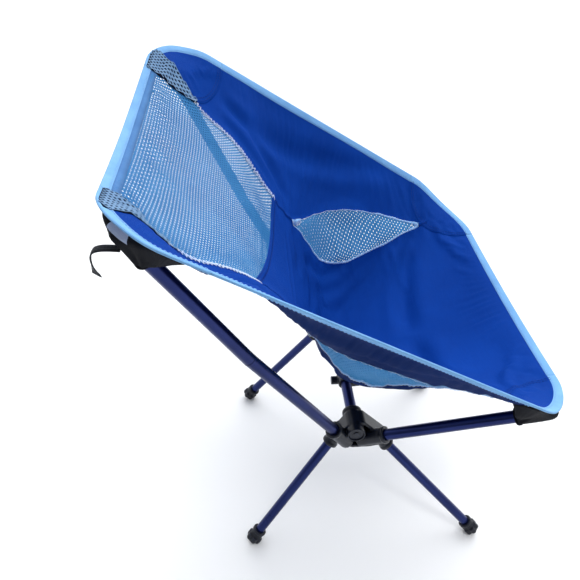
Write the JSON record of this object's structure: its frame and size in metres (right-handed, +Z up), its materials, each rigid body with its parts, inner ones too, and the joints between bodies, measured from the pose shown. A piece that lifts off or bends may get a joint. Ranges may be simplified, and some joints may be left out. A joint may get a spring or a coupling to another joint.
{
  "type": "camp chair",
  "caption": "Ultralight backpacking chair: shock-corded aluminium pole frame on moulded hubs with a blue fabric and mesh sling seat.",
  "frame": {"origin": "on the ground, under the middle of the chair's outer box", "axes": "+Z up; the sitter faces -Y; +X is the sitter's left"},
  "size_m": [0.5662, 0.5256, 0.6411],
  "materials": {
    "tube_alloy": "dark blue anodised, satin",
    "hub_plastic": "black moulded, satin gloss",
    "tip_plastic": "black moulded, matt",
    "foot_rubber": "black rubber, matt",
    "ferrule_metal": "bare, satin",
    "rivet_metal": "bare, brushed",
    "shock_cord": "braided elastic cord",
    "sling_fabric": "royal blue plain-weave nylon",
    "mesh_fabric": "light blue open knitted mesh",
    "binding_tape": "sky blue folded binding tape, stitched",
    "pocket_fabric": "black heavy-duty woven fabric",
    "webbing": "black woven webbing"
  },
  "bodies": {
    "left_frame": {"hub_left": "hub_plastic", "cross_tube": "tube_alloy", "cross_tube_caps": "hub_plastic", "centre_fitting": "hub_plastic", "centre_rivet": "rivet_metal", "back_pole_lower_left": "tube_alloy", "back_pole_upper_left": "tube_alloy", "back_pole_ferrule_left": "ferrule_metal", "front_pole_left": "tube_alloy", "pole_tips_left": "tip_plastic", "pole_cords_left": "shock_cord", "back_mesh_left": "mesh_fabric", "seat_panel_left": "sling_fabric", "side_panel_left": "sling_fabric", "hip_mesh_left": "mesh_fabric", "edge_binding_left": "binding_tape"},
    "right_frame": {"hub_right": "hub_plastic", "back_pole_lower_right": "tube_alloy", "back_pole_upper_right": "tube_alloy", "back_pole_ferrule_right": "ferrule_metal", "front_pole_right": "tube_alloy", "pole_tips_right": "tip_plastic", "pole_cords_right": "shock_cord", "back_mesh_right": "mesh_fabric", "seat_panel_right": "sling_fabric", "side_panel_right": "sling_fabric", "hip_mesh_right": "mesh_fabric", "edge_binding_right": "binding_tape"},
    "leg_rear_left": {"rear_leg_left": "tube_alloy", "rear_leg_cord_left": "shock_cord", "rear_foot_left": "foot_rubber"},
    "leg_front_left": {"front_leg_left": "tube_alloy", "front_leg_cord_left": "shock_cord", "front_foot_left": "foot_rubber"},
    "corner_back_left": {"back_corner_left": "sling_fabric", "back_pocket_left": "pocket_fabric"},
    "corner_front_left": {"front_corner_left": "sling_fabric", "front_pocket_left": "pocket_fabric"},
    "tab_left": {"pull_tab_left": "webbing"},
    "leg_rear_right": {"rear_leg_right": "tube_alloy", "rear_leg_cord_right": "shock_cord", "rear_foot_right": "foot_rubber"},
    "leg_front_right": {"front_leg_right": "tube_alloy", "front_leg_cord_right": "shock_cord", "front_foot_right": "foot_rubber"},
    "corner_back_right": {"back_corner_right": "sling_fabric", "back_pocket_right": "pocket_fabric"},
    "corner_front_right": {"front_corner_right": "sling_fabric", "front_pocket_right": "pocket_fabric"},
    "tab_right": {"pull_tab_right": "webbing"}
  },
  "joints": [
    {"name": "frame_turn", "type": "hinge", "parent": "left_frame", "child": "right_frame", "pos_m": [0, -0.01821, 0.223], "axis": [1, 0, 0], "range_deg": [-5, 5], "stiffness_Nm_per_rad": 40},
    {"name": "rear_leg_left_slide", "type": "slide", "parent": "left_frame", "child": "leg_rear_left", "axis": [0.1646, 0.5433, -0.8232], "range_m": [0, 0.03], "stiffness_N_per_m": 60},
    {"name": "front_leg_left_slide", "type": "slide", "parent": "left_frame", "child": "leg_front_left", "axis": [0.1912, -0.6455, -0.7394], "range_m": [0, 0.03], "stiffness_N_per_m": 60},
    {"name": "back_corner_left_slide", "type": "slide", "parent": "left_frame", "child": "corner_back_left", "axis": [0.2195, 0.4506, 0.8653], "range_m": [0, 0.02], "stiffness_N_per_m": 400},
    {"name": "front_corner_left_slide", "type": "slide", "parent": "left_frame", "child": "corner_front_left", "axis": [0.3524, -0.7616, 0.5438], "range_m": [0, 0.02], "stiffness_N_per_m": 400},
    {"name": "pull_tab_left_hinge", "type": "hinge", "parent": "corner_back_left", "child": "tab_left", "pos_m": [0.23443, 0.23528, 0.60269], "axis": [1, 0, 0], "range_deg": [-35, 60], "stiffness_Nm_per_rad": 0.03},
    {"name": "rear_leg_right_slide", "type": "slide", "parent": "right_frame", "child": "leg_rear_right", "axis": [-0.1646, 0.5433, -0.8232], "range_m": [0, 0.03], "stiffness_N_per_m": 60},
    {"name": "front_leg_right_slide", "type": "slide", "parent": "right_frame", "child": "leg_front_right", "axis": [-0.1912, -0.6455, -0.7394], "range_m": [0, 0.03], "stiffness_N_per_m": 60},
    {"name": "back_corner_right_slide", "type": "slide", "parent": "right_frame", "child": "corner_back_right", "axis": [-0.2195, 0.4506, 0.8653], "range_m": [0, 0.02], "stiffness_N_per_m": 400},
    {"name": "front_corner_right_slide", "type": "slide", "parent": "right_frame", "child": "corner_front_right", "axis": [-0.3524, -0.7616, 0.5438], "range_m": [0, 0.02], "stiffness_N_per_m": 400},
    {"name": "pull_tab_right_hinge", "type": "hinge", "parent": "corner_back_right", "child": "tab_right", "pos_m": [-0.23443, 0.23528, 0.60269], "axis": [1, 0, 0], "range_deg": [-35, 60], "stiffness_Nm_per_rad": 0.03}
  ]
}
